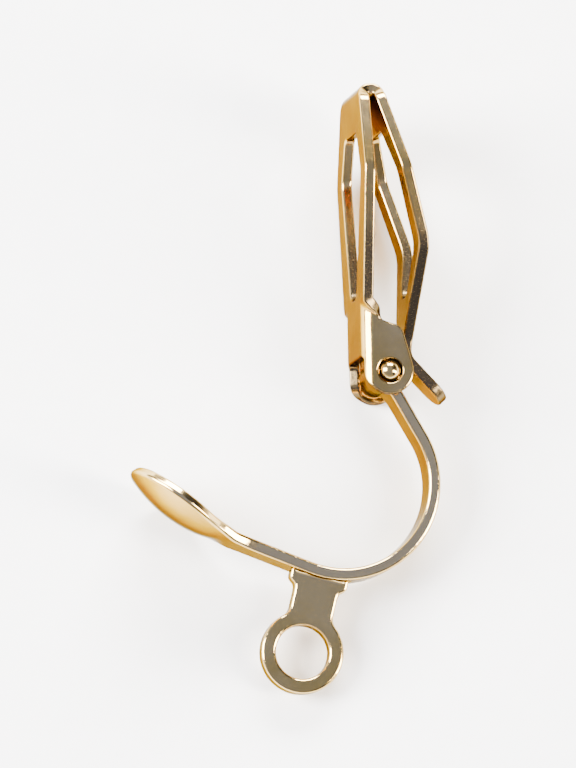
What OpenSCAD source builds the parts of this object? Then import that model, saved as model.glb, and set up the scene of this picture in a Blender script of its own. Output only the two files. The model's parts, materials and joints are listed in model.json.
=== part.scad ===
// Clip-on earring converter, open, lying on its side. Millimetres, Z up.
// The clip is drawn flat in its own plane: the pin at the origin along Z, the pad along +X and the bend
// of the hook towards +Y. It is then turned and leaned to lie as it rests on a table, with the origin on
// the table under the middle of its outer box.

/* [Hook] */
// Distance from the pin to the middle of the pad
reach = 9.3; // [9.1:0.05:9.6]
// Radius of the bend, to the middle of the strip
bend_r = 3.45; // [3.3:0.05:3.6]
// Middle of the bend along the line from the pin to the pad
bend_x = 3.55; // [3.45:0.05:3.7]
// Middle of the bend outwards from that line
bend_y = 2.55; // [2.4:0.05:2.7]
// Width of the strip
strip_w = 1.6; // [1.4:0.1:1.8]
// Thickness of the strip
strip_t = 0.45; // [0.4:0.05:0.55]

/* [Pad] */
// Diameter of the pad
pad_d = 4.1; // [3.8:0.1:4.4]
// Thickness of the pad
pad_t = 0.4; // [0.35:0.05:0.45]
// Depth of its dish
pad_dish = 0.4; // [0.3:0.05:0.5]
// Lean of the pad from the line between pin and pad
pad_lean = 69; // [66:1:72]
// Length of the flare between the strip and the pad
flare_l = 1.4; // [1.1:0.1:1.6]
// Width of the flare where it meets the pad
flare_w = 2.6; // [2.2:0.1:2.8]

/* [Loop] */
// Diameter of the loop's hole
loop_hole = 2; // [1.8:0.1:2.2]
// Outer diameter of the loop
loop_d = 3.1; // [3:0.1:3.4]
// Thickness of the loop and its foot
loop_t = 0.7; // [0.6:0.05:0.8]
// Distance from the middle of the strip to the middle of the loop
loop_out = 3.05; // [2.95:0.05:3.25]
// Where the foot stands on the bend
loop_at = 44; // [41:1:50]
// Width of the foot
foot_w = 1.65; // [1.5:0.05:1.75]
// Width of the foot's soldered base
base_w = 2.2; // [2:0.1:2.4]
// Height of the soldered base over the strip
base_t = 0.3; // [0.2:0.05:0.4]

/* [Paddle] */
// Length from the pin to the folded end
paddle_l = 10.8; // [10.5:0.1:11.1]
// Thickness of the sheet
sheet_t = 0.4; // [0.35:0.05:0.45]
// Greatest width
paddle_w = 6.1; // [5.8:0.1:6.4]
// Where the paddle is widest, from the pin
widest_at = 7.5; // [7.2:0.1:7.8]
// Width of the folded end
end_w = 3.9; // [3.7:0.1:4.1]
// Width of the bars round the openings
bar_w = 1.1; // [1:0.05:1.2]
// Where the outer leaf has its knee, from the pin
knee_at = 4.7; // [4.4:0.1:5]
// Height of the knee's middle line over the pin
knee_out = 1.54; // [1.4:0.02:1.6]
// Length of the tail past the bend at the pin
tail_l = 2.2; // [2:0.02:2.3]
// Width of the tail and of the neck between the ears
tail_w = 1.44; // [1.3:0.02:1.5]
// How far the tail turns out from the line of the paddle
tail_turn = 40; // [35:1:45]
// How far the paddle is open, from the line between pin and pad
open_angle = 119; // [114:1:121]

/* [Hinge] */
// Radius of the pin
pin_r = 0.4; // [0.35:0.01:0.42]
// Radius of the barrel round the pin
barrel_r = 0.65; // [0.62:0.01:0.7]
// Length of the barrel
barrel_l = 2.5; // [2.3:0.1:2.6]
// Radius of the ears
ear_r = 0.88; // [0.82:0.01:0.95]
// Width over the ears
ears_w = 3.7; // [3.6:0.1:3.9]
// How far each rounded end of the pin stands out of its ear
pin_proud = 0.1; // [0.05:0.05:0.2]

/* [Rest] */
// Turn of the clip on the table, where it lies on a corner of the paddle, an ear and the pad's rim
rest_turn = -150; // [-180:5:180]
// Lean of the clip along the line between pin and pad
rest_lean_x = -10; // [-15:0.1:15]
// Lean of the clip across that line
rest_lean_y = -0.4; // [-15:0.1:15]
// Height of the middle of the pin over the table
rest_z = 1.98; // [1:0.001:5]
// Place of the pin on the table, along X
rest_x = 3.623; // [-10:0.001:10]
// Place of the pin on the table, along Y
rest_y = 0.413; // [-10:0.001:10]

/* [Hidden] */
$fn = 96;
// Running gap of the pin in the ears, and its closer fit in the barrel
ear_gap = 0.04;
barrel_gap = 0.02;
// Degrees of turn between two points of a rounded corner
arc_step = 6;
GOLD = "#d9b36c";
DEEP_GOLD = "#c99a4e";
PALE_GOLD = "#e6cfa0";

bend_c = [bend_x, bend_y];
// The pad's own directions: along its face towards its tip, and into the clip
pad_dir = [cos(-pad_lean), sin(-pad_lean)];
pad_in = [pad_dir.y, -pad_dir.x];
// The hollow is part of a sphere, inside a narrow flat rim
pad_rim = 0.1;
pad_sphere = (pow(pad_d / 2 - pad_rim, 2) + pow(pad_dish, 2)) / (2 * pad_dish);
// Middle of the pad's rim plane, and the point of the rim where the strip runs in
rim_c = [reach, 0] + (pad_dish + pad_t) / 2 * pad_in;
strip_end = rim_c - pad_d / 2 * pad_dir - pad_t / 2 * pad_in;

// Where the straight runs to the pin and to the pad leave the bend, as angles about its middle
run_to_pin = 360 + direction([0, 0] - bend_c) - acos(bend_r / norm(bend_c));
run_to_pad = direction(strip_end - bend_c) + acos(bend_r / norm(strip_end - bend_c));
bend_steps = ceil((run_to_pin - run_to_pad) / arc_step);

loop_c = bend_c + (bend_r + loop_out) * unit(loop_at);
// Distance from the middle of the loop to the strip's outer side, and how far the base sinks into it
foot_l = loop_out - strip_t / 2;
base_sink = 0.25;

// The strip starts inside the barrel, and runs on into the pad
strip_from = 0.6;
strip_on = 0.5;
// The flare is thinner than the strip, so that no two faces lie in one plane
flare_t = strip_t - 0.04;

// The inner leaf's middle line starts here, at the hinge
leaf_start = [0.6, 0.8];
// The far end is folded flat, with the leaves this far apart, middle to middle
fold_end = paddle_l - sheet_t / 2;
fold_r = 0.25;
fold_gap = 0.53;
fold_mid = 0.025;
// The outer leaf's middle line at the barrel, where it turns out to the tail, and its bend radii
heel = [0.6, 0.03 - barrel_r - sheet_t / 2];
heel_r = 0.7;
knee_r = 2;
// The middle line of the folded sheet, hinge end first: along, across, bend radius
SHEET = [
    [leaf_start.x, leaf_start.y, 0],
    [fold_end, fold_mid + fold_gap / 2, fold_r],
    [fold_end, fold_mid - fold_gap / 2, fold_r],
    [knee_at, -knee_out, knee_r],
    [heel.x, heel.y, heel_r],
    [heel.x - tail_l * cos(tail_turn), heel.y - tail_l * sin(tail_turn), 0],
];
// Far enough to pass through both leaves and the tail
clear = 4;
// Half outlines of the leaves and of their openings: along, half width, corner radius
LEAF = [
    [-clear, tail_w / 2, 0],
    [0.4, tail_w / 2, 0],
    [0.4, ears_w / 2, 0],
    [2.4, ears_w / 2, 1.5],
    [widest_at, paddle_w / 2, 0.9],
    [paddle_l, end_w / 2, 0.7],
];
OPENING = [
    [2.9, 0.55, 0.5],
    [widest_at, paddle_w / 2 - bar_w, 0.6],
    [paddle_l - 1.75, end_w / 2 - 0.75 * bar_w, 0.35],
];
// What is cut from the outer leaf beside its neck, past the ears, and along its taper towards the knee
neck_end = 1.2;
beside_leaf = paddle_w / 2;
TAPER = [
    [-1, tail_w / 2, 0],
    [neck_end, tail_w / 2, 0.5],
    [knee_at + 0.5, beside_leaf - 0.35, 0],
    [knee_at + 0.5, beside_leaf, 0],
    [-1, beside_leaf, 0],
];
// Outline of an ear beside the pin: where it leaves the inner leaf, and its blunt front end
EAR_ROOT = [[-0.5, 0.72], [0.1, 1], [2.6, 0.88], [2.6, 0.5], [2.3, 0.4], [1.9, 0.1], [1.75, -0.3], [1.35, -0.62],
    [0.3, -0.82], [0, -0.8]];

function unit(a) = [cos(a), sin(a)];
function direction(v) = atan2(v.y, v.x);
function left(a) = [-sin(a), cos(a)];
function wrap(a) = a > 180 ? a - 360 : a <= -180 ? a + 360 : a;
function flat(v) = [v.x, v.y];

// Points round a corner b between a and c, each with its heading: [x, y, heading]
function corner(a, b, c, r) =
    let (in = direction(b - a), turn = wrap(direction(c - b) - in), side = sign(turn),
         start = b - r * tan(abs(turn) / 2) * unit(in), middle = start + side * r * left(in),
         n = r == 0 ? 0 : ceil(abs(turn) / arc_step))
    [for (i = [0:n])
        let (h = in + (n == 0 ? 0 : turn * i / n), p = middle - side * r * left(h)) [p.x, p.y, h]];

// The middle line of a bent strip through the rows [x, y, bend radius]
function bent(rows) =
    let (last = len(rows) - 1, first = direction(flat(rows[1]) - flat(rows[0])),
         final = direction(flat(rows[last]) - flat(rows[last - 1])))
    concat(
        [[rows[0].x, rows[0].y, first]],
        [for (i = [1:last - 1]) each corner(flat(rows[i - 1]), flat(rows[i]), flat(rows[i + 1]), rows[i].z)],
        [[rows[last].x, rows[last].y, final]]);

// The two sides of a strip of thickness t about such a line, as one outline
function band(line, t) = concat(
    [for (s = line) flat(s) + t / 2 * left(s.z)],
    [for (i = [len(line) - 1:-1:0]) flat(line[i]) - t / 2 * left(line[i].z)]);

// A closed outline through the rows [x, y, corner radius]
function rounded(rows) =
    let (n = len(rows))
    [for (i = [0:n - 1])
        for (s = corner(flat(rows[(i + n - 1) % n]), flat(rows[i]), flat(rows[(i + 1) % n]), rows[i].z))
            flat(s)];

// One that is the same on both sides of X, from the rows [x, half width, corner radius]
function mirrored(half) =
    rounded(concat(half, [for (i = [len(half) - 1:-1:0]) [half[i].x, -half[i].y, half[i].z]]));

// The middle line of the hook's strip, from the barrel to the pad
function strip_line() = concat(
    [[each strip_from * unit(run_to_pin - 90), run_to_pin - 90]],
    [for (i = [0:bend_steps]) let (a = run_to_pin + (run_to_pad - run_to_pin) * i / bend_steps)
        [each (bend_c + bend_r * unit(a)), a - 90]],
    [[each (strip_end + strip_on * unit(run_to_pad - 90)), run_to_pad - 90]]);

// Lays the clip on the table
module at_rest() {
    translate([rest_x, rest_y, rest_z])
        rotate([0, 0, rest_turn])
            rotate([rest_lean_x, rest_lean_y, 0])
                children();
}

// Seen along Y, as a leaf's outline is: x along the paddle, y across it
module through_leaf(outline) {
    rotate([90, 0, 0])
        linear_extrude(2 * clear, center = true)
            polygon(outline);
}

module strip() {
    linear_extrude(strip_w, center = true)
        polygon(band(strip_line(), strip_t));
}

// The strip widens before the pad, as a spoon's handle does
module flare() {
    intersection() {
        linear_extrude(pad_d, center = true)
            polygon(band(strip_line(), flare_t));
        translate([strip_end.x, strip_end.y, 0])
            rotate([0, 0, -pad_lean])
                through_leaf([[-flare_l, strip_w / 2], [strip_on, flare_w / 2],
                    [strip_on, -flare_w / 2], [-flare_l, -strip_w / 2]]);
    }
}

module pad() {
    // Stands on its own axis, the hollow side up, the rim at zero
    translate([rim_c.x, rim_c.y, 0])
        rotate([0, 0, direction(pad_in)])
            rotate([0, 90, 0])
                intersection() {
                    translate([0, 0, pad_sphere - pad_dish])
                        difference() {
                            sphere(pad_sphere + pad_t, $fn = 180);
                            sphere(pad_sphere, $fn = 180);
                        }
                    translate([0, 0, -pad_dish - 2 * pad_t])
                        cylinder(h = pad_dish + 2 * pad_t, r = pad_d / 2);
                }
}

// The flat loop and the foot that is soldered to the outside of the bend
module loop() {
    half = [
        [0, foot_w / 2],
        [foot_l - base_t - base_sink, foot_w / 2],
        [foot_l - base_t, base_w / 2],
        [foot_l + base_sink, base_w / 2],
    ];
    foot = concat(half, [for (i = [len(half) - 1:-1:0]) [half[i].x, -half[i].y]]);
    translate([loop_c.x, loop_c.y, 0])
        rotate([0, 0, loop_at + 180])
            difference() {
                linear_extrude(loop_t, center = true) {
                    circle(loop_d / 2);
                    polygon(foot);
                }
                cylinder(h = 2 * loop_t, r = loop_hole / 2, center = true);
            }
}

module barrel() {
    cylinder(h = barrel_l, r = barrel_r, center = true);
}

module ear_hook() {
    color(GOLD)
        at_rest()
            difference() {
                union() {
                    strip();
                    flare();
                    pad();
                    loop();
                    barrel();
                }
                cylinder(h = 2 * barrel_l, r = pin_r + barrel_gap, center = true);
            }
}

// Tapers the outer leaf to its neck between the ears, and leaves the inner leaf whole
module taper_cut() {
    below_inner = -0.3;
    for (side = [0, 1])
        mirror([0, 0, side])
            translate([0, below_inner, 0])
                rotate([90, 0, 0])
                    linear_extrude(clear)
                        polygon(rounded(TAPER));
}

// What is cut from the tail to round its end
module tail_end_cut() {
    middle = tail_l - tail_w / 2;
    translate([heel.x, heel.y, 0])
        rotate([0, 0, 180 + tail_turn])
            rotate([90, 0, 0])
                linear_extrude(2 * sheet_t, center = true)
                    difference() {
                        translate([middle, -tail_w])
                            square([tail_w, 2 * tail_w]);
                        translate([middle, 0])
                            circle(tail_w / 2);
                    }
}

// Inner leaf, fold, outer leaf and tail: one bent sheet, cut to its outline
module folded_sheet() {
    difference() {
        intersection() {
            linear_extrude(2 * paddle_w, center = true)
                polygon(band(bent(SHEET), sheet_t));
            through_leaf(mirrored(LEAF));
        }
        through_leaf(mirrored(OPENING));
        taper_cut();
        tail_end_cut();
    }
}

module ears() {
    for (side = [-1, 1])
        translate([0, 0, side * (ears_w - sheet_t) / 2])
            linear_extrude(sheet_t, center = true) {
                circle(ear_r);
                polygon(EAR_ROOT);
            }
}

module clip_paddle() {
    color(DEEP_GOLD)
        at_rest()
            rotate([0, 0, -open_angle])
                difference() {
                    union() {
                        folded_sheet();
                        ears();
                    }
                    cylinder(h = 2 * ears_w, r = pin_r + ear_gap, center = true);
                }
}

module hinge_pin() {
    end = ears_w / 2 + pin_proud;
    color(PALE_GOLD)
        at_rest()
            rotate_extrude()
                polygon([[0, -end], [pin_r - pin_proud, -end], [pin_r, pin_proud - end],
                    [pin_r, end - pin_proud], [pin_r - pin_proud, end], [0, end]]);
}

ear_hook();
clip_paddle();
hinge_pin();
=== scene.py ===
import json
from math import acos, asin, atan2, ceil, cos, hypot, pi, radians, sin, sqrt, tan

import bpy
from mathutils import Matrix, Quaternion, Vector
from mathutils.geometry import delaunay_2d_cdt


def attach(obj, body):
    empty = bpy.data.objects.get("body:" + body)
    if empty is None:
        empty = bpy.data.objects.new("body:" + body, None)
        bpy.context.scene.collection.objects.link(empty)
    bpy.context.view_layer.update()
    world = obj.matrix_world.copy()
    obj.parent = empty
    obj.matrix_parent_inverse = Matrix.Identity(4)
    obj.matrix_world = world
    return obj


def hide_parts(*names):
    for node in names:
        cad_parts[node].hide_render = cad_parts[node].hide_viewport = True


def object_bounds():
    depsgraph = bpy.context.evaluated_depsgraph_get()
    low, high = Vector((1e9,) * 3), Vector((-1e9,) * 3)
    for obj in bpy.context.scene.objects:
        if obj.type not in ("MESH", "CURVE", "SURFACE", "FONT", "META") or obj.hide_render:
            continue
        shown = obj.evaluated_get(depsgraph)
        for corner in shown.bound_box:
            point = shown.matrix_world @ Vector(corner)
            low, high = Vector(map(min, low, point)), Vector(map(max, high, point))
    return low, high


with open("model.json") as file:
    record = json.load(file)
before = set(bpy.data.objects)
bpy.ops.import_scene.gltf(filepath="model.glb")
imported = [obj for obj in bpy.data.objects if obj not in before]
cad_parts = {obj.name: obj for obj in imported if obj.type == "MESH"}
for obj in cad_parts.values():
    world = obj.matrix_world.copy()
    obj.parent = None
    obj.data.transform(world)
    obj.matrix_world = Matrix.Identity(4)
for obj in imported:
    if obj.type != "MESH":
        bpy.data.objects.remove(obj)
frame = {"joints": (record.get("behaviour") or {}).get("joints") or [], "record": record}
cad_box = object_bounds()

# The hook is brass wire, rolled flat and bent to a C. Its front end is struck to a round dished pad, as a
# spoon is, and its other end is brazed into the barrel. It is tumbled until every edge is round, and then
# plated with gold.
STRIP_W = 1.6
STRIP_T = 0.45
STRIP_EDGE = 0.13
BEND_R = 3.45
BEND_X = 3.55
BEND_Y = 2.55
REACH = 9.3
PAD_R = 2.05
PAD_T = 0.4
PAD_DISH = 0.4
PAD_LEAN = radians(69)
PAD_RIM = 0.1
NECK_L = 1.5
NECK_BEND_R = 3
NECK_MEETS_PAD = radians(124)
BARREL_R = 0.65
BRAZE_R = 0.4
LOOP_OUT = 3.05
LOOP_AT = radians(44)
MM = 0.001
MESH_STEP = 0.16


def unit(angle):
    """The direction at this angle, in radians, in the clip's own plane."""
    return Vector((cos(angle), sin(angle)))


# The clip lies open on its side. Its pieces are made in its own plane, in millimetres, with the hinge pin at
# the origin along Z, the pad along X and the bend towards Y, and laid where the CAD clip lies.
bend_middle = Vector((BEND_X, BEND_Y))
loop_middle = bend_middle + (BEND_R + LOOP_OUT) * unit(LOOP_AT)
pin_place = Vector(frame["joints"][0]["pos_m"])
axle = Vector(frame["joints"][0]["axis"]).normalized()
loop_place = next(Vector(m["pos_m"]) for m in frame["record"]["mounts"] if m["name"] == "loop")
to_pad = Quaternion(axle, -atan2(loop_middle.y, loop_middle.x)) @ (loop_place - pin_place).normalized()
clip_axes = Matrix((to_pad, axle.cross(to_pad), axle)).transposed()


def arc(middle, radius, start, end, step=radians(6)):
    """Points along an arc, both ends included."""
    n = max(2, ceil(abs(end - start) / step))
    return [Vector(middle) + radius * unit(start + (end - start) * i / n) for i in range(n + 1)]


def bent_line(rows):
    """The middle line of a bent strip through corners (x, y, bend radius).

    Gives its length, its bends as (from, to, radius), and a function from the distance along it to the point
    there and the heading.
    """
    corners = [Vector(row[:2]) for row in rows]
    pieces = []
    bends = []
    here = corners[0]
    along = 0.0
    for before, corner, after, row in zip(corners, corners[1:], corners[2:], rows[1:]):
        heading = atan2(corner.y - before.y, corner.x - before.x)
        turn = atan2(after.y - corner.y, after.x - corner.x) - heading
        turn = (turn + pi) % (2 * pi) - pi
        radius = row[2]
        cut = radius * tan(abs(turn) / 2)
        start = corner - cut * unit(heading)
        pieces.append((along, here, heading, 0))
        along += (start - here).length
        pieces.append((along, start, heading, (1 if turn > 0 else -1) / radius))
        bends.append((along, along + radius * abs(turn), radius))
        along += radius * abs(turn)
        here = corner + cut * unit(heading + turn)
    last = corners[-1] - here
    pieces.append((along, here, atan2(last.y, last.x), 0))

    def at(distance):
        start, point, heading, curve = next((p for p in reversed(pieces) if p[0] <= distance), pieces[0])
        further = distance - start
        if curve == 0:
            return point + further * unit(heading), heading
        new = heading + curve * further
        return point + Vector((sin(new) - sin(heading), cos(heading) - cos(new))) / curve, new

    return along + last.length, bends, at


def spaced(start, end, step):
    """Evenly spaced values from start to end, no further apart than step."""
    n = max(1, ceil(abs(end - start) / step - 1e-9))
    return [start + (end - start) * i / n for i in range(n + 1)]


def lines_along(length, bends, step):
    """Where a bent blank is divided across: evenly on its straight runs, and finely in its bends."""
    places = []
    done = 0.0
    for bend_from, bend_to, radius in bends:
        places += spaced(done, bend_from, step)
        places += spaced(bend_from, bend_to, min(step, radius * radians(9)))
        done = bend_to
    return sorted(set(round(p, 4) for p in places + spaced(done, length, step)))


def area(outline):
    return sum(a.x * b.y - b.x * a.y for a, b in zip(outline, outline[1:] + outline[:1])) / 2


def inside(point, outline):
    """Whether a point lies within a closed outline."""
    found = False
    for a, b in zip(outline, outline[1:] + outline[:1]):
        if (a.y > point.y) != (b.y > point.y) and point.x < a.x + (point.y - a.y) * (b.x - a.x) / (b.y - a.y):
            found = not found
    return found


def divided(outline, lines_s, lines_t, clockwise):
    """A closed outline, with a point more wherever it crosses a dividing line, turned the way asked."""
    if (area(outline) < 0) != clockwise:
        outline = outline[::-1]
    close = 0.012
    points = []
    for a, b in zip(outline, outline[1:] + outline[:1]):
        marks = [0.0]
        for axis, lines in ((0, lines_s), (1, lines_t)):
            run = b[axis] - a[axis]
            if abs(run) > 1e-6:
                marks += [(line - a[axis]) / run for line in lines if 0 < (line - a[axis]) / run < 1]
        for mark in sorted(marks):
            point = a + mark * (b - a)
            if not points or (point - points[-1]).length > close:
                points.append(point)
    while (points[0] - points[-1]).length <= close:
        points.pop()
    return points


def cut_and_bent(outer, holes, lines_s, lines_t, place, thickness, edge, hole_edge):
    """A blank cut to its outlines, with rounded edges, and bent to its form.

    place says where a point (along, across) of the blank's middle comes to lie in the clip, and thickness
    how thick the metal is there. Gives points, normals, faces and edge values for metal_piece.
    """
    step = 0.01
    loops = [divided(outer, lines_s, lines_t, False)] + [divided(h, lines_s, lines_t, True) for h in holes]
    rounds = [edge] + [hole_edge] * len(holes)
    points, normals, faces, at_edge = [], [], [], []

    def outwards(loop):
        # The metal is on the left of each loop, so out of it is to the right
        result = []
        for before, here, after in zip(loop[-1:] + loop[:-1], loop, loop[1:] + loop[:1]):
            along = (here - before).normalized() + (after - here).normalized()
            result.append(Vector((along.y, -along.x)).normalized())
        return result

    def add(s, t, height, out=None, tilt=0.0):
        along = (place(s + step, t) - place(s - step, t)).normalized()
        across = (place(s, t + step) - place(s, t - step)).normalized()
        normal = along.cross(across).normalized()
        points.append(place(s, t) + height * normal)
        growth = (thickness(s + step) - thickness(s - step)) / (4 * step)
        face = (normal - growth * along if height > 0 else -normal - growth * along).normalized()
        if out is None:
            normals.append(face)
            at_edge.append(0.0)
        else:
            sideways = (out.x * along + out.y * across).normalized()
            normals.append((cos(tilt) * sideways + abs(sin(tilt)) * face).normalized())
            at_edge.append(cos(tilt))
        return len(points) - 1

    # The two faces, as triangles between the loops and the crossings of the dividing lines
    outs = [outwards(loop) for loop in loops]
    flats = [[p - r * o for p, o in zip(loop, out)] for loop, out, r in zip(loops, outs, rounds)]
    flat = [p for loop in flats for p in loop]
    links = []
    first = 0
    for loop in flats:
        links += [(first + i, first + (i + 1) % len(loop)) for i in range(len(loop))]
        first += len(loop)
    near = 0.05
    border = [p for loop in flats for p in loop]
    for s in lines_s:
        close_by = [p for p in border if abs(p.x - s) < near]
        for t in lines_t:
            point = Vector((s, t))
            if any((point - p).length < near for p in close_by):
                continue
            if inside(point, flats[0]) and not any(inside(point, hole) for hole in flats[1:]):
                flat.append(point)
    found, _, triangles, origins, _, _ = delaunay_2d_cdt(flat, links, [], 0, 1e-5)
    new_of = {old: new for new, olds in enumerate(origins) for old in olds}
    kept = []
    for triangle in triangles:
        middle = sum((found[i] for i in triangle), Vector((0, 0))) / 3
        if inside(middle, flats[0]) and not any(inside(middle, hole) for hole in flats[1:]):
            kept.append(triangle)
    starts = []
    for side in (1, -1):
        starts.append(len(points))
        for p in found:
            add(p.x, p.y, side * thickness(p.x) / 2)
        faces += [tuple(starts[-1] + i for i in triangle[::side]) for triangle in kept]

    # The rounded edge along each loop, from the upper face to the lower one
    edge_steps = 4
    tilts = [pi / 2 * (1 - i / edge_steps) for i in range(1, edge_steps + 1)]
    tilts += [-tilt for tilt in reversed(tilts)]
    first = 0
    for loop, out, r in zip(loops, outs, rounds):
        n = len(loop)
        rows = [[starts[0] + new_of[first + i] for i in range(n)]]
        for index, tilt in enumerate(tilts):
            side = 1 if index < edge_steps else -1
            row = []
            for p, o in zip(loop, out):
                moved = p - r * (1 - cos(tilt)) * o
                half = thickness(p.x) / 2
                upright = min(r, 0.9 * half)
                height = side * (half - upright) + upright * sin(tilt)
                row.append(add(moved.x, moved.y, height, o, tilt))
            rows.append(row)
        rows.append([starts[1] + new_of[first + i] for i in range(n)])
        for upper, lower in zip(rows, rows[1:]):
            for i in range(n):
                j = (i + 1) % n
                faces.append((upper[i], lower[i], lower[j], upper[j]))
        first += n
    return points, normals, faces, at_edge


def metal_piece(name, points, normals, faces, at_edge):
    """Lays points of the clip on the table, and joins them to a piece with smooth metal faces.

    at_edge is 1 in the middle of an edge or a corner, and 0 on the flats.
    """
    mesh = bpy.data.meshes.new(name)
    mesh.from_pydata([pin_place + clip_axes @ (MM * p) for p in points], [], faces)
    mesh.attributes.new("at_edge", "FLOAT", "POINT").data.foreach_set("value", at_edge)
    mesh.shade_smooth()
    mesh.normals_split_custom_set_from_vertices([(clip_axes @ n).normalized() for n in normals])
    piece = bpy.data.objects.new(name, mesh)
    bpy.context.collection.objects.link(piece)
    return piece


def linear(hex_colour):
    """An sRGB colour such as #C0A060 as the linear colour that a shader takes."""
    parts = [int(hex_colour[i:i + 2], 16) / 255 for i in (1, 3, 5)]
    return [p / 12.92 if p <= 0.04045 else ((p + 0.055) / 1.055) ** 2.4 for p in parts] + [1]


def add_node(material, kind, links=(), **settings):
    """Adds a node with its settings. links are (socket, value or the output that feeds it)."""
    made = material.node_tree.nodes.new(kind)
    for name, value in settings.items():
        setattr(made, name, value)
    for socket, source in links:
        if isinstance(source, bpy.types.NodeSocket):
            material.node_tree.links.new(source, made.inputs[socket])
        else:
            made.inputs[socket].default_value = source
    return made


def new_material(name):
    material = bpy.data.materials.new(name)
    material.use_nodes = True
    material.node_tree.nodes.clear()
    return material


def smooth_step(low, high, value):
    x = min(1.0, max(0.0, (value - low) / (high - low)))
    return x * x * (3 - 2 * x)


# The pad's face runs along pad_way, and it hollows away from pad_in. The hollow is part of a ball.
pad_way = unit(-PAD_LEAN)
pad_in = Vector((pad_way.y, -pad_way.x))
hollow_r = ((PAD_R - PAD_RIM) ** 2 + PAD_DISH ** 2) / (2 * PAD_DISH)
rim_middle = Vector((REACH, 0)) + (PAD_DISH + PAD_T) / 2 * pad_in
strip_end = rim_middle - PAD_R * pad_way - PAD_T / 2 * pad_in


def leaves_bend(point, side):
    """Where a straight run to this point leaves the bend, as an angle about its middle."""
    to_point = point - bend_middle
    return atan2(to_point.y, to_point.x) + side * acos(BEND_R / to_point.length)


run_to_pin = leaves_bend(Vector((0, 0)), -1) + 2 * pi
run_to_pad = leaves_bend(strip_end, 1)
half_turn = (run_to_pin - run_to_pad) / 2
bend_corner = bend_middle + BEND_R / cos(half_turn) * unit((run_to_pin + run_to_pad) / 2)
strip_start = 0.5 * unit(run_to_pin - pi / 2)
strip_l, strip_bends, strip_at = bent_line([
    (*strip_start, 0),
    (*bend_corner, BEND_R),
    (*strip_end, NECK_BEND_R),
    (*(strip_end + 2 * PAD_R * pad_way), 0),
])
pad_at = strip_l - PAD_R


def strip_place(s, t):
    point, heading = strip_at(s)
    beside = s - pad_at
    r = hypot(beside, t)
    hollow = sqrt(max(0, (hollow_r + PAD_T / 2) ** 2 - r * r)) - (hollow_r - PAD_DISH) - PAD_T / 2
    # The hollow runs out into the neck
    hollow *= 1 - smooth_step(0.65 * PAD_R, PAD_R + 0.3 * NECK_L, -beside)
    point = point - hollow * unit(heading - pi / 2)
    return Vector((*point, t))


def strip_thickness(s):
    """Thinner at the struck pad, and thicker where the brazing runs up the barrel."""
    from_pin = s + strip_start.length
    fillet_at = sqrt((BARREL_R + BRAZE_R) ** 2 - (STRIP_T / 2 + BRAZE_R) ** 2)
    fillet_from = fillet_at * BARREL_R / (BARREL_R + BRAZE_R)
    thinner = (STRIP_T - PAD_T) * smooth_step(pad_at - PAD_R - NECK_L, pad_at - 0.7 * PAD_R, s)
    into = max(0, fillet_at - max(fillet_from, from_pin))
    return STRIP_T - thinner + 2 * (BRAZE_R - sqrt(BRAZE_R ** 2 - into ** 2))


def curve(a, b, c, d, steps=12):
    """Points of the smooth curve from a to d that sets out towards b and comes in from c."""
    ways = [i / steps for i in range(steps + 1)]
    return [(1 - w) ** 3 * a + 3 * w * (1 - w) ** 2 * b + 3 * w * w * (1 - w) * c + w ** 3 * d for w in ways]


def mirrored(half):
    """A half outline, from the middle line and back to it, with its other half."""
    return half + [Vector((p.x, -p.y)) for p in reversed(half) if abs(p.y) > 1e-6]


pad_middle = Vector((pad_at, 0))
neck_start = Vector((pad_at - PAD_R - NECK_L, STRIP_W / 2))
neck_end = pad_middle + PAD_R * unit(NECK_MEETS_PAD)
neck_way = unit(NECK_MEETS_PAD - pi / 2)
strip_half = [Vector((0, 0)), Vector((0, STRIP_W / 2))]
strip_half += curve(neck_start, neck_start + Vector((0.75 * NECK_L, 0)), neck_end - 0.6 * NECK_L * neck_way,
                    neck_end)
strip_half += arc(pad_middle, PAD_R, NECK_MEETS_PAD, 0, radians(4))[1:]

hook_strip = metal_piece("ear_hook_strip", *cut_and_bent(
    mirrored(strip_half), [], lines_along(strip_l, strip_bends, MESH_STEP),
    spaced(-PAD_R, PAD_R, MESH_STEP), strip_place, strip_thickness, STRIP_EDGE, STRIP_EDGE))


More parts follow.
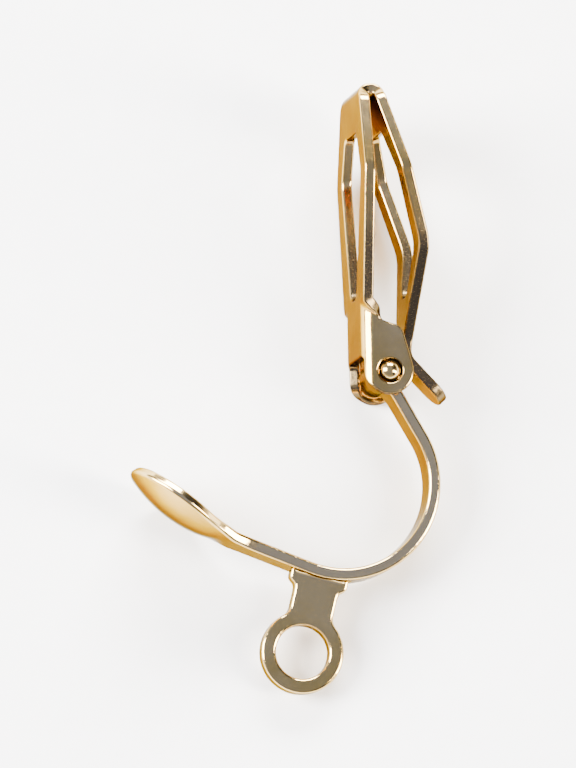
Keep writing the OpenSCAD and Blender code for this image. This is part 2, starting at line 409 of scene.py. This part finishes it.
def gold_plating(name, bright, deep, grazing, edge, smooth, edge_rough, peel):
    """Gold plating on tumbled brass: a warm mirror, a little uneven in colour and gloss.

    grazing tints what it mirrors at a low angle, and edge is a colour painted on the rounded edges for their
    light and shade: painted shade where it is darker than the gold, a painted sheen where it is paler. smooth
    is its roughness, edge_rough how much rougher the edges are, and peel how deep the soft waves of the brass
    are, in millimetres.
    """
    gold = new_material(name)
    where = add_node(gold, "ShaderNodeTexCoord").outputs["Object"]
    in_mm = add_node(gold, "ShaderNodeVectorMath", [(0, where), (3, 1 / MM)], operation="SCALE").outputs[0]
    # Thin and thick places of the plating, a few millimetres wide
    bath = add_node(gold, "ShaderNodeTexNoise", [("Vector", in_mm), ("Scale", 0.45), ("Detail", 3)])
    tone = add_node(gold, "ShaderNodeMapRange", [(0, bath.outputs[0]), (1, 0.35), (2, 0.65)])
    plated = add_node(gold, "ShaderNodeMix", [(0, tone.outputs[0]), (6, linear(deep)), (7, linear(bright))],
                      data_type="RGBA")
    # The edge colour is mixed in on the rounded edges as painted light and shade, not as a colour of the
    # plating
    at_edge = add_node(gold, "ShaderNodeAttribute", attribute_name="at_edge")
    edge_part = add_node(gold, "ShaderNodeMapRange", [(0, at_edge.outputs["Fac"]), (1, 0.2), (2, 0.8)])
    colour = add_node(gold, "ShaderNodeMix", [(0, edge_part.outputs[0]), (6, plated.outputs[2]),
                      (7, linear(edge))], data_type="RGBA")
    # Tumbling media leave soft dents about 0.3 mm wide, and hairlines drawn here at 0.06 mm, a pixel or two
    dents = add_node(gold, "ShaderNodeTexNoise", [("Vector", in_mm), ("Scale", 3.2), ("Detail", 2)])
    hairs = add_node(gold, "ShaderNodeTexNoise", [("Vector", in_mm), ("Scale", 16), ("Detail", 2)])
    gloss = add_node(gold, "ShaderNodeMapRange",
                     [(0, hairs.outputs[0]), (1, 0.3), (2, 0.7), (3, 0.6 * smooth), (4, 1.6 * smooth)])
    rough = add_node(gold, "ShaderNodeMath",
                     [(0, edge_part.outputs[0]), (1, edge_rough), (2, gloss.outputs[0])],
                     operation="MULTIPLY_ADD")
    wave = add_node(gold, "ShaderNodeBump", [("Height", dents.outputs[0]), ("Distance", peel * MM)])
    shader = add_node(gold, "ShaderNodeBsdfPrincipled",
                      [("Base Color", colour.outputs[2]), ("Metallic", 1), ("Roughness", rough.outputs[0]),
                       ("Specular Tint", linear(grazing)), ("Normal", wave.outputs[0])])
    add_node(gold, "ShaderNodeOutputMaterial", [(0, shader.outputs[0])])
    return gold


# The hook's edge colour, a little paler than its gold, is a painted sheen on its rounded edges
hook_gold = gold_plating("gold_plated_tumbled_hook", "#CEAC68", "#BA9648", "#7E7040", "#D2B478",
                         smooth=0.12, edge_rough=0, peel=0.008)
hook_strip.data.materials.append(hook_gold)
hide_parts("ear_hook")
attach(hook_strip, "hook")


# The barrel is a short length of brass tube that the pin turns in. The strip is brazed to its side, and it
# is plated with the hook.
BARREL_L = 2.5
BORE_R = 0.42
BARREL_EDGE = 0.1


def turned(profile, closed):
    """A piece turned about the pin, from the rows (radius, height, way out, edge) of its profile."""
    steps = 72
    points, normals, faces, at_edge = [], [], [], []
    for radius, height, way, edge in profile:
        for i in range(steps):
            x, y = unit(2 * pi * i / steps)
            points.append(Vector((radius * x, radius * y, height)))
            normals.append(Vector((cos(way) * x, cos(way) * y, sin(way))))
            at_edge.append(edge)
    rows = [[r * steps + i for i in range(steps)] for r in range(len(profile))]
    pairs = list(zip(rows, rows[1:]))
    if closed:
        pairs.append((rows[-1], rows[0]))
    for low, high in pairs:
        for i in range(steps):
            j = (i + 1) % steps
            faces.append((low[i], low[j], high[j], high[i]))
    if not closed:
        faces += [tuple(reversed(rows[0])), tuple(rows[-1])]
    return points, normals, faces, at_edge


def tube_profile(inner, outer, length, edge):
    """The profile of a tube with rounded ends, from the bore's top down, round and up outside."""
    rows = []
    corners = [(inner + edge, -1, pi), (outer - edge, -1, 1.5 * pi), (outer - edge, 1, 0),
               (inner + edge, 1, pi / 2)]
    for radius, end, start in corners:
        for i in range(5):
            way = start + pi / 2 * i / 4
            rows.append((radius + edge * cos(way), end * (length / 2 - edge) + edge * sin(way), way,
                         max(0, cos(2 * (way - start) - pi / 2))))
    return rows


barrel = metal_piece("ear_hook_barrel", *turned(tube_profile(BORE_R, BARREL_R, BARREL_L, BARREL_EDGE), True))
barrel.data.materials.append(hook_gold)
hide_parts("ear_hook")
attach(barrel, "hook")


# The loop is stamped from thick brass sheet with its foot in one piece. The foot spreads to a base, which
# is soft-soldered to the outside of the bend, and the earring hangs from the loop.
LOOP_R = 1.55
LOOP_HOLE_R = 1.0
LOOP_T = 0.7
LOOP_EDGE = 0.12
FOOT_W = 1.65
FOOT_ROOT_R = 0.5
BASE_W = 2.2
BASE_T = 0.3
BASE_CORNER_R = 0.24
BASE_SUNK = 0.1

foot_l = LOOP_OUT - STRIP_T / 2
root_at = sqrt((LOOP_R + FOOT_ROOT_R) ** 2 - (FOOT_W / 2 + FOOT_ROOT_R) ** 2)
root_middle = Vector((root_at, FOOT_W / 2 + FOOT_ROOT_R))
root_angle = atan2(root_middle.y, root_middle.x)
spread_from = Vector((foot_l - 2.2 * BASE_T, FOOT_W / 2))
base_turn = radians(140)
corner_middle = Vector((foot_l - BASE_SUNK, BASE_W / 2 - BASE_CORNER_R))
spread_to = corner_middle + BASE_CORNER_R * unit(base_turn)
loop_half = arc((0, 0), LOOP_R, pi, root_angle, radians(5))
loop_half += arc(root_middle, FOOT_ROOT_R, pi + root_angle, 1.5 * pi, radians(9))[1:]
loop_half += curve(spread_from, spread_from + Vector((BASE_T, 0)),
                   spread_to - 0.5 * BASE_T * unit(base_turn - pi / 2), spread_to, 6)
loop_half += arc(corner_middle, BASE_CORNER_R, base_turn, pi / 2, radians(10))[1:]
base_angle = asin(BASE_W / 2 / BEND_R)
loop_half += arc((BEND_R + LOOP_OUT, 0), BEND_R, pi - base_angle, pi)
to_bend = unit(LOOP_AT + pi)
beside_bend = Vector((-to_bend.y, to_bend.x))


def loop_place_at(s, t):
    return Vector((*(loop_middle + s * to_bend + t * beside_bend), 0))


loop = metal_piece("ear_hook_loop", *cut_and_bent(
    mirrored(loop_half), [arc((0, 0), LOOP_HOLE_R, 0, 2 * pi, radians(5))[:-1]],
    spaced(-LOOP_R, loop_half[-4].x, MESH_STEP), spaced(-LOOP_R, LOOP_R, MESH_STEP), loop_place_at,
    lambda s: LOOP_T, LOOP_EDGE, LOOP_EDGE))
loop.data.materials.append(hook_gold)
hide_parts("ear_hook")
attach(loop, "hook")


# Soft solder has run round the foot of the loop and set in a small hollow fillet. The plating covers it, a
# little brighter than the brass beside it.
SOLDER_R = 0.24


def solder_fillet():
    """The solder's hollow ring round the loop's base, sunk a little into the strip below it."""
    bend_at = BEND_R + LOOP_OUT
    strip_outer = BEND_R + STRIP_T / 2
    corner = 0.25
    corner_steps = 8
    steps = 6
    inset_side, inset_up = 0.06, 0.02
    sunk = 0.01
    points, normals, faces, at_edge = [], [], [], []
    ring = []
    long_half, short_half = BASE_W / 2 - corner - inset_side, LOOP_T / 2 - corner - inset_up
    for index, (side, up) in enumerate(((1, 1), (-1, 1), (-1, -1), (1, -1))):
        for i in range(corner_steps + 1):
            way = index * pi / 2 + pi / 2 * i / corner_steps
            ring.append((Vector((side * long_half, up * short_half)) + corner * unit(way), unit(way)))
    for j in range(steps + 1):
        turn = pi / 2 * j / steps
        for edge, out in ring:
            beside = edge + (SOLDER_R - SOLDER_R * cos(turn)) * out
            lift = SOLDER_R * (1 - sin(turn)) - sunk
            surface = bend_at - sqrt(strip_outer ** 2 - beside.x ** 2)
            at = loop_middle + (surface - lift) * to_bend + beside.x * beside_bend
            points.append(Vector((*at, beside.y)))
            way = cos(turn) * (out.x * beside_bend) - sin(turn) * to_bend
            normals.append(Vector((*way, cos(turn) * out.y)).normalized())
            at_edge.append(0.5)
    n = len(ring)
    for j in range(steps):
        for i in range(n):
            k = (i + 1) % n
            faces.append((j * n + i, j * n + k, (j + 1) * n + k, (j + 1) * n + i))
    faces += [tuple(reversed(range(n))), tuple(steps * n + i for i in range(n))]
    return points, normals, faces, at_edge


solder = metal_piece("ear_hook_solder", *solder_fillet())
solder_gold = gold_plating("gold_plated_solder", "#DCBC80", "#CCA862", "#94804C", "#D8BE88",
                           smooth=0.12, edge_rough=0, peel=0.008)
solder.data.materials.append(solder_gold)
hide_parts("ear_hook")
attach(solder, "hook")


# The paddle is stamped from half-hard brass sheet and folded double at its far end. The inner leaf's two
# ears are turned up to take the pin, and the outer leaf's narrow end runs between them, over the barrel, to
# a small tail. Both leaves are cut out in the middle.
SHEET_T = 0.4
SHEET_EDGE = 0.08
PADDLE_L = 10.8
PADDLE_W = 6.1
WIDEST_AT = 7.5
END_W = 3.9
CORNER_CUT = 0.5
BAR_W = 1.1
KNEE_AT = 4.7
KNEE_OUT = 1.54
KNEE_R = 2
TAPER_AT = 4.46
TAPER_W = 4.67
NECK_AT = 1.2
HEEL_R = 0.7
TAIL_L = 2.2
TAIL_W = 1.44
TAIL_TURN = radians(40)
OPEN = radians(119)
FOLD_R = 0.25
FOLD_GAP = 0.53
FOLD_MIDDLE = 0.025
LEAF_START = (0.6, 0.8)
EAR_R = 0.88
EARS_W = 3.7
EAR_BEND_R = 0.33
EAR_BEND_STEP = 0.07
EAR_BEND_FULL = 1.9
EAR_BEND_GONE = 2.7
EAR_CHIN = (1.62, -0.55)
EAR_FOOT = (1.95, 0.3)
EAR_HOLE_R = 0.44
EAR_HOLE_EDGE = 0.1
KITE_FROM = 2.9
KITE_POINT_W = 1.1
END_BAR_W = 1.75

fold_end = PADDLE_L - SHEET_T / 2
heel = Vector((0.6, 0.03 - BARREL_R - SHEET_T / 2))
tail_end = heel - TAIL_L * unit(TAIL_TURN)
sheet_l, sheet_bends, sheet_at = bent_line([
    (*LEAF_START, 0),
    (fold_end, FOLD_MIDDLE + FOLD_GAP / 2, FOLD_R),
    (fold_end, FOLD_MIDDLE - FOLD_GAP / 2, FOLD_R),
    (KNEE_AT, -KNEE_OUT, KNEE_R),
    (*heel, HEEL_R),
    (*tail_end, 0),
])
fold_middle_at = (sheet_bends[0][0] + sheet_bends[1][1]) / 2


def on_inner(p):
    """Distance along the sheet to the inner leaf's point this far from the pin."""
    return (p - LEAF_START[0]) / cos(sheet_at(0)[1])


def on_outer(p):
    """Distance along the sheet to the outer leaf's point this far from the pin."""
    low, high = fold_middle_at, sheet_l
    for _ in range(30):
        middle = (low + high) / 2
        if sheet_at(middle)[0].x > p:
            low = middle
        else:
            high = middle
    return low


def rounded(rows, closed):
    """An outline through the corners (along, across, corner radius)."""
    corners = [Vector(row[:2]) for row in rows]
    n = len(rows)
    points = []
    for i, (x, y, r) in enumerate(rows):
        corner = Vector((x, y))
        if r == 0 or (not closed and i in (0, n - 1)):
            points.append(corner)
            continue
        way_in = (corner - corners[i - 1]).normalized()
        way_out = (corners[(i + 1) % n] - corner).normalized()
        turn = way_in.angle_signed(way_out)
        side = -1 if turn > 0 else 1
        start = corner - r * tan(abs(turn) / 2) * way_in
        middle = start + side * r * Vector((-way_in.y, way_in.x))
        from_angle = atan2((start - middle).y, (start - middle).x)
        points += arc(middle, r, from_angle, from_angle - turn)
    return points


# The ear in the flat blank: the pin's hole and the ear's round lie beyond the bend that turns the ear up
leaf_tilt = -sheet_at(0)[1]
ear_middle_z = (EARS_W - SHEET_T) / 2
ear_bend_at = ear_middle_z - EAR_BEND_R
pin_depth = LEAF_START[0] * sin(leaf_tilt) + LEAF_START[1] * cos(leaf_tilt)
pin_at = LEAF_START[1] * sin(leaf_tilt) - LEAF_START[0] * cos(leaf_tilt)
pin_across = ear_bend_at + EAR_BEND_R * (pi / 2 - 1) + pin_depth


def on_ear(p, q):
    """Where a place beside the pin, along the paddle and towards its inner leaf, lies in the blank."""
    beside = Vector((p - LEAF_START[0], q - LEAF_START[1]))
    along = beside.x * cos(leaf_tilt) - beside.y * sin(leaf_tilt)
    depth = -beside.x * sin(leaf_tilt) - beside.y * cos(leaf_tilt)
    return along, ear_bend_at + EAR_BEND_R * (pi / 2 - 1) + depth


chin_at, chin_across = on_ear(*EAR_CHIN)
to_chin = Vector((chin_at - pin_at, chin_across - pin_across))
chin_slope = pi / 2 - atan2(to_chin.y, to_chin.x) - acos(EAR_R / to_chin.length)
sheet_half = rounded([
    (0, 0, 0),
    (0, pin_across - EAR_R, 0.2),
    (pin_at - EAR_R, pin_across - EAR_R, EAR_R - 0.01),
    (pin_at - EAR_R, pin_across + EAR_R, EAR_R - 0.01),
    (pin_at + EAR_R * tan(chin_slope / 2), pin_across + EAR_R, EAR_R - 0.01),
    (chin_at, chin_across, 0.5),
    (*on_ear(*EAR_FOOT), 0.35),
    (on_inner(WIDEST_AT), PADDLE_W / 2, 0.9),
    (on_inner(PADDLE_L - CORNER_CUT), END_W / 2 + 0.12, 0.7),
    (fold_middle_at, END_W / 2 - CORNER_CUT, 0.4),
    (on_outer(PADDLE_L - CORNER_CUT), END_W / 2 + 0.12, 0.7),
    (on_outer(WIDEST_AT), PADDLE_W / 2, 0.9),
    (on_outer(TAPER_AT), TAPER_W / 2, 1.5),
    (on_outer(NECK_AT), TAIL_W / 2, 0.5),
    (sheet_l, TAIL_W / 2, TAIL_W / 2 - 0.005),
    (sheet_l, 0, 0),
], False)


def opening(on_leaf):
    """The kite that is cut from a leaf."""
    half = [(KITE_FROM, KITE_POINT_W / 2, 0.5), (WIDEST_AT, PADDLE_W / 2 - BAR_W, 0.6),
            (PADDLE_L - END_BAR_W, END_W / 2 - 0.75 * BAR_W, 0.35)]
    rows = [(on_leaf(p), across, r) for p, across, r in half]
    return rounded(rows + [(s, -across, r) for s, across, r in reversed(rows)], True)


def sheet_place(s, t):
    point, heading = sheet_at(s)
    over = abs(t) - ear_bend_at
    depth = 0.0
    z = abs(t)
    if over > 0:
        # The ears' bend fades out along the inner leaf, and beyond that the sheet is flat across
        bend = pi / 2 * (1 - smooth_step(on_inner(EAR_BEND_FULL), on_inner(EAR_BEND_GONE), s))
        turned_by = min(bend, over / EAR_BEND_R)
        beyond = over - turned_by * EAR_BEND_R
        z = ear_bend_at + EAR_BEND_R * sin(turned_by) + beyond * cos(turned_by)
        depth = EAR_BEND_R * (1 - cos(turned_by)) + beyond * sin(turned_by)
    point = point - depth * Vector((-sin(heading), cos(heading)))
    return Quaternion((0, 0, 1), -OPEN) @ Vector((*point, z if t > 0 else -z))


across_half = pin_across + EAR_R
sheet_lines_t = sorted(set(
    [round(side * t, 4) for side in (1, -1) for t in spaced(0, ear_bend_at, MESH_STEP)
     + spaced(ear_bend_at, ear_bend_at + EAR_BEND_R * pi / 2, EAR_BEND_STEP)
     + spaced(ear_bend_at + EAR_BEND_R * pi / 2, across_half, MESH_STEP)]))
sheet_lines_s = spaced(pin_at - EAR_R, 0, MESH_STEP)[:-1] + lines_along(sheet_l, sheet_bends, MESH_STEP)
pin_holes = [arc((pin_at, side * pin_across), EAR_HOLE_R, 0, 2 * pi, radians(10))[:-1] for side in (1, -1)]
sheet_points, sheet_normals, sheet_faces, sheet_edge = cut_and_bent(
    mirrored(sheet_half), [opening(on_inner), opening(on_outer)] + pin_holes, sheet_lines_s, sheet_lines_t,
    sheet_place, lambda s: SHEET_T, SHEET_EDGE, EAR_HOLE_EDGE)
# The painted shade on the cut edges, and their extra roughness, fade out towards the paddle's far end
EDGE_SHADE_FADE_FROM = 3.5
EDGE_SHADE_FADE_FULL = 7.5
paddle_way = unit(-OPEN).to_3d()
sheet_edge = [edge * (1 - 0.75 * smooth_step(EDGE_SHADE_FADE_FROM, EDGE_SHADE_FADE_FULL, point.dot(paddle_way)))
              for edge, point in zip(sheet_edge, sheet_points)]
paddle = metal_piece("clip_paddle_sheet", sheet_points, sheet_normals, sheet_faces, sheet_edge)
# The paddle's dark brown edge colour is painted shade on its cut edges
paddle_gold = gold_plating("gold_plated_stamped_paddle", "#D2B070", "#BE9A52", "#827048", "#625238",
                           smooth=0.12, edge_rough=0.1, peel=0.006)
paddle.data.materials.append(paddle_gold)
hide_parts("clip_paddle")
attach(paddle, "paddle")


# The pin is a short length of hard brass wire, pushed through both ears and the barrel. Its ends are set
# with a punch, which leaves them slightly domed and keeps the pin in place.
PIN_R = 0.4
PIN_PROUD = 0.1
DOME_T = 0.16


def pin_profile():
    end = EARS_W / 2 + PIN_PROUD
    rows = []
    for side in (-1, 1):
        steps = 7
        for i in range(steps + 1):
            way = pi / 2 * (i / steps if side > 0 else 1 - i / steps)
            rows.append((max(0.01, PIN_R * cos(way)), side * (end - DOME_T + DOME_T * sin(way)), side * way,
                         0.6 * cos(way)))
    return rows


hinge_pin = metal_piece("hinge_pin_wire", *turned(pin_profile(), False))
# The pin's edge colour, a little paler than its gold, is a painted sheen on its sides
pin_gold = gold_plating("gold_plated_pin", "#E0C080", "#D4AE60", "#B89E60", "#E2C890",
                        smooth=0.12, edge_rough=0, peel=0.006)
hinge_pin.data.materials.append(pin_gold)
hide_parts("hinge_pin")
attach(hinge_pin, "hook")


# The clip lies on a sheet of white board, smooth and matt.
FLOOR_HALF = 1.5
floor_mesh = bpy.data.meshes.new("floor")
floor_mesh.from_pydata([(x, y, 0) for x, y in ((-FLOOR_HALF, -FLOOR_HALF), (FLOOR_HALF, -FLOOR_HALF),
                        (FLOOR_HALF, FLOOR_HALF), (-FLOOR_HALF, FLOOR_HALF))], [], [(0, 1, 2, 3)])
floor = bpy.data.objects.new("floor", floor_mesh)
bpy.context.collection.objects.link(floor)
board = new_material("white_board")
board_where = add_node(board, "ShaderNodeTexCoord").outputs["Object"]
fibres = add_node(board, "ShaderNodeTexNoise", [("Vector", board_where), ("Scale", 900), ("Detail", 3)])
white = add_node(board, "ShaderNodeMix", [(0, fibres.outputs[0]), (6, linear("#F2F1EE")),
                 (7, linear("#F8F7F5"))], data_type="RGBA")
matt = add_node(board, "ShaderNodeBsdfPrincipled", [("Base Color", white.outputs[2]), ("Roughness", 0.85)])
add_node(board, "ShaderNodeOutputMaterial", [(0, matt.outputs[0])])
floor_mesh.materials.append(board)


# The clip lies in a tent of white cloth that is bright low down and dim and bluish overhead. A black flag
# hangs on the right, and three softboxes light the clip from the left, the right and the back.
FLAG_DARK = 0.9
TENT_SHADES = ((0, "#F4F0EA"), (0.3, "#A9A7A8"), (0.6, "#7C86AC"), (0.95, "#8492C6"))

world = bpy.data.worlds.new("light_tent")
world.use_nodes = True
world.node_tree.nodes.clear()
sky_way = add_node(world, "ShaderNodeTexCoord").outputs["Generated"]
way = add_node(world, "ShaderNodeSeparateXYZ", [(0, sky_way)])
tent = add_node(world, "ShaderNodeValToRGB", [(0, way.outputs["Z"])])
tent.color_ramp.elements.remove(tent.color_ramp.elements[1])
for index, (height, shade) in enumerate(TENT_SHADES):
    stop = tent.color_ramp.elements.new(height) if index else tent.color_ramp.elements[0]
    stop.position = height
    stop.color = linear(shade)
right = add_node(world, "ShaderNodeMapRange", [(0, way.outputs["X"]), (1, 0.3), (2, 0.6)],
                 interpolation_type="SMOOTHSTEP")
raised = add_node(world, "ShaderNodeMapRange", [(0, way.outputs["Z"]), (1, 0.12), (2, 0.3)],
                  interpolation_type="SMOOTHSTEP")
flag = add_node(world, "ShaderNodeMath", [(0, right.outputs[0]), (1, raised.outputs[0])],
                operation="MULTIPLY")
shaded = add_node(world, "ShaderNodeMath", [(0, flag.outputs[0]), (1, -FLAG_DARK), (2, 1)],
                  operation="MULTIPLY_ADD")
tent_light = add_node(world, "ShaderNodeVectorMath", [(0, tent.outputs[0]), (3, shaded.outputs[0])],
                      operation="SCALE")
tent_glow = add_node(world, "ShaderNodeBackground", [("Color", tent_light.outputs[0]), ("Strength", 1.8)])
add_node(world, "ShaderNodeOutputWorld", [(0, tent_glow.outputs[0])])
bpy.context.scene.world = world


def softbox(name, place, width, height, power, colour):
    """A softbox aimed at the clip, in metres and watts."""
    lamp = bpy.data.lights.new(name, "AREA")
    lamp.shape = "RECTANGLE"
    lamp.size = width
    lamp.size_y = height
    lamp.energy = power
    lamp.color = linear(colour)[:3]
    box = bpy.data.objects.new(name, lamp)
    box.location = place
    box.rotation_euler = (-Vector(place)).to_track_quat("-Z", "Y").to_euler()
    bpy.context.collection.objects.link(box)


softbox("softbox_left", (-0.32, 0.05, 0.22), 0.2, 0.3, 11, "#FFFFFF")
softbox("softbox_right", (0.3, -0.1, 0.2), 0.1, 0.3, 6, "#FFF8EE")
softbox("softbox_back", (0.05, 0.34, 0.2), 0.3, 0.12, 8, "#FFFFFF")


# The camera looks down on the clip as the photograph does, with a long lens from well away.
CAMERA_WAY = Vector((-0.0852, -0.2615, 0.9614))
CAMERA_ROLL = radians(14.54)
CAMERA_AWAY = 0.4
VIEW_HEIGHT = 0.0285
SENSOR = 36

low, high = Vector(cad_box[0]), Vector(cad_box[1])
aim = (low + high) / 2
camera_data = bpy.data.cameras.new("camera")
camera_data.sensor_width = SENSOR
camera_data.lens = SENSOR * CAMERA_AWAY / VIEW_HEIGHT
camera = bpy.data.objects.new("camera", camera_data)
camera_right = Vector((0, 0, 1)).cross(CAMERA_WAY).normalized()
camera_up = CAMERA_WAY.cross(camera_right)
leaned_up = cos(CAMERA_ROLL) * camera_up - sin(CAMERA_ROLL) * camera_right
leaned_right = leaned_up.cross(CAMERA_WAY).normalized()
turn = Matrix((leaned_right, leaned_up, CAMERA_WAY.normalized())).transposed()
camera.matrix_world = Matrix.Translation(aim + CAMERA_AWAY * CAMERA_WAY.normalized()) @ turn.to_4x4()
bpy.context.collection.objects.link(camera)
bpy.context.scene.camera = camera
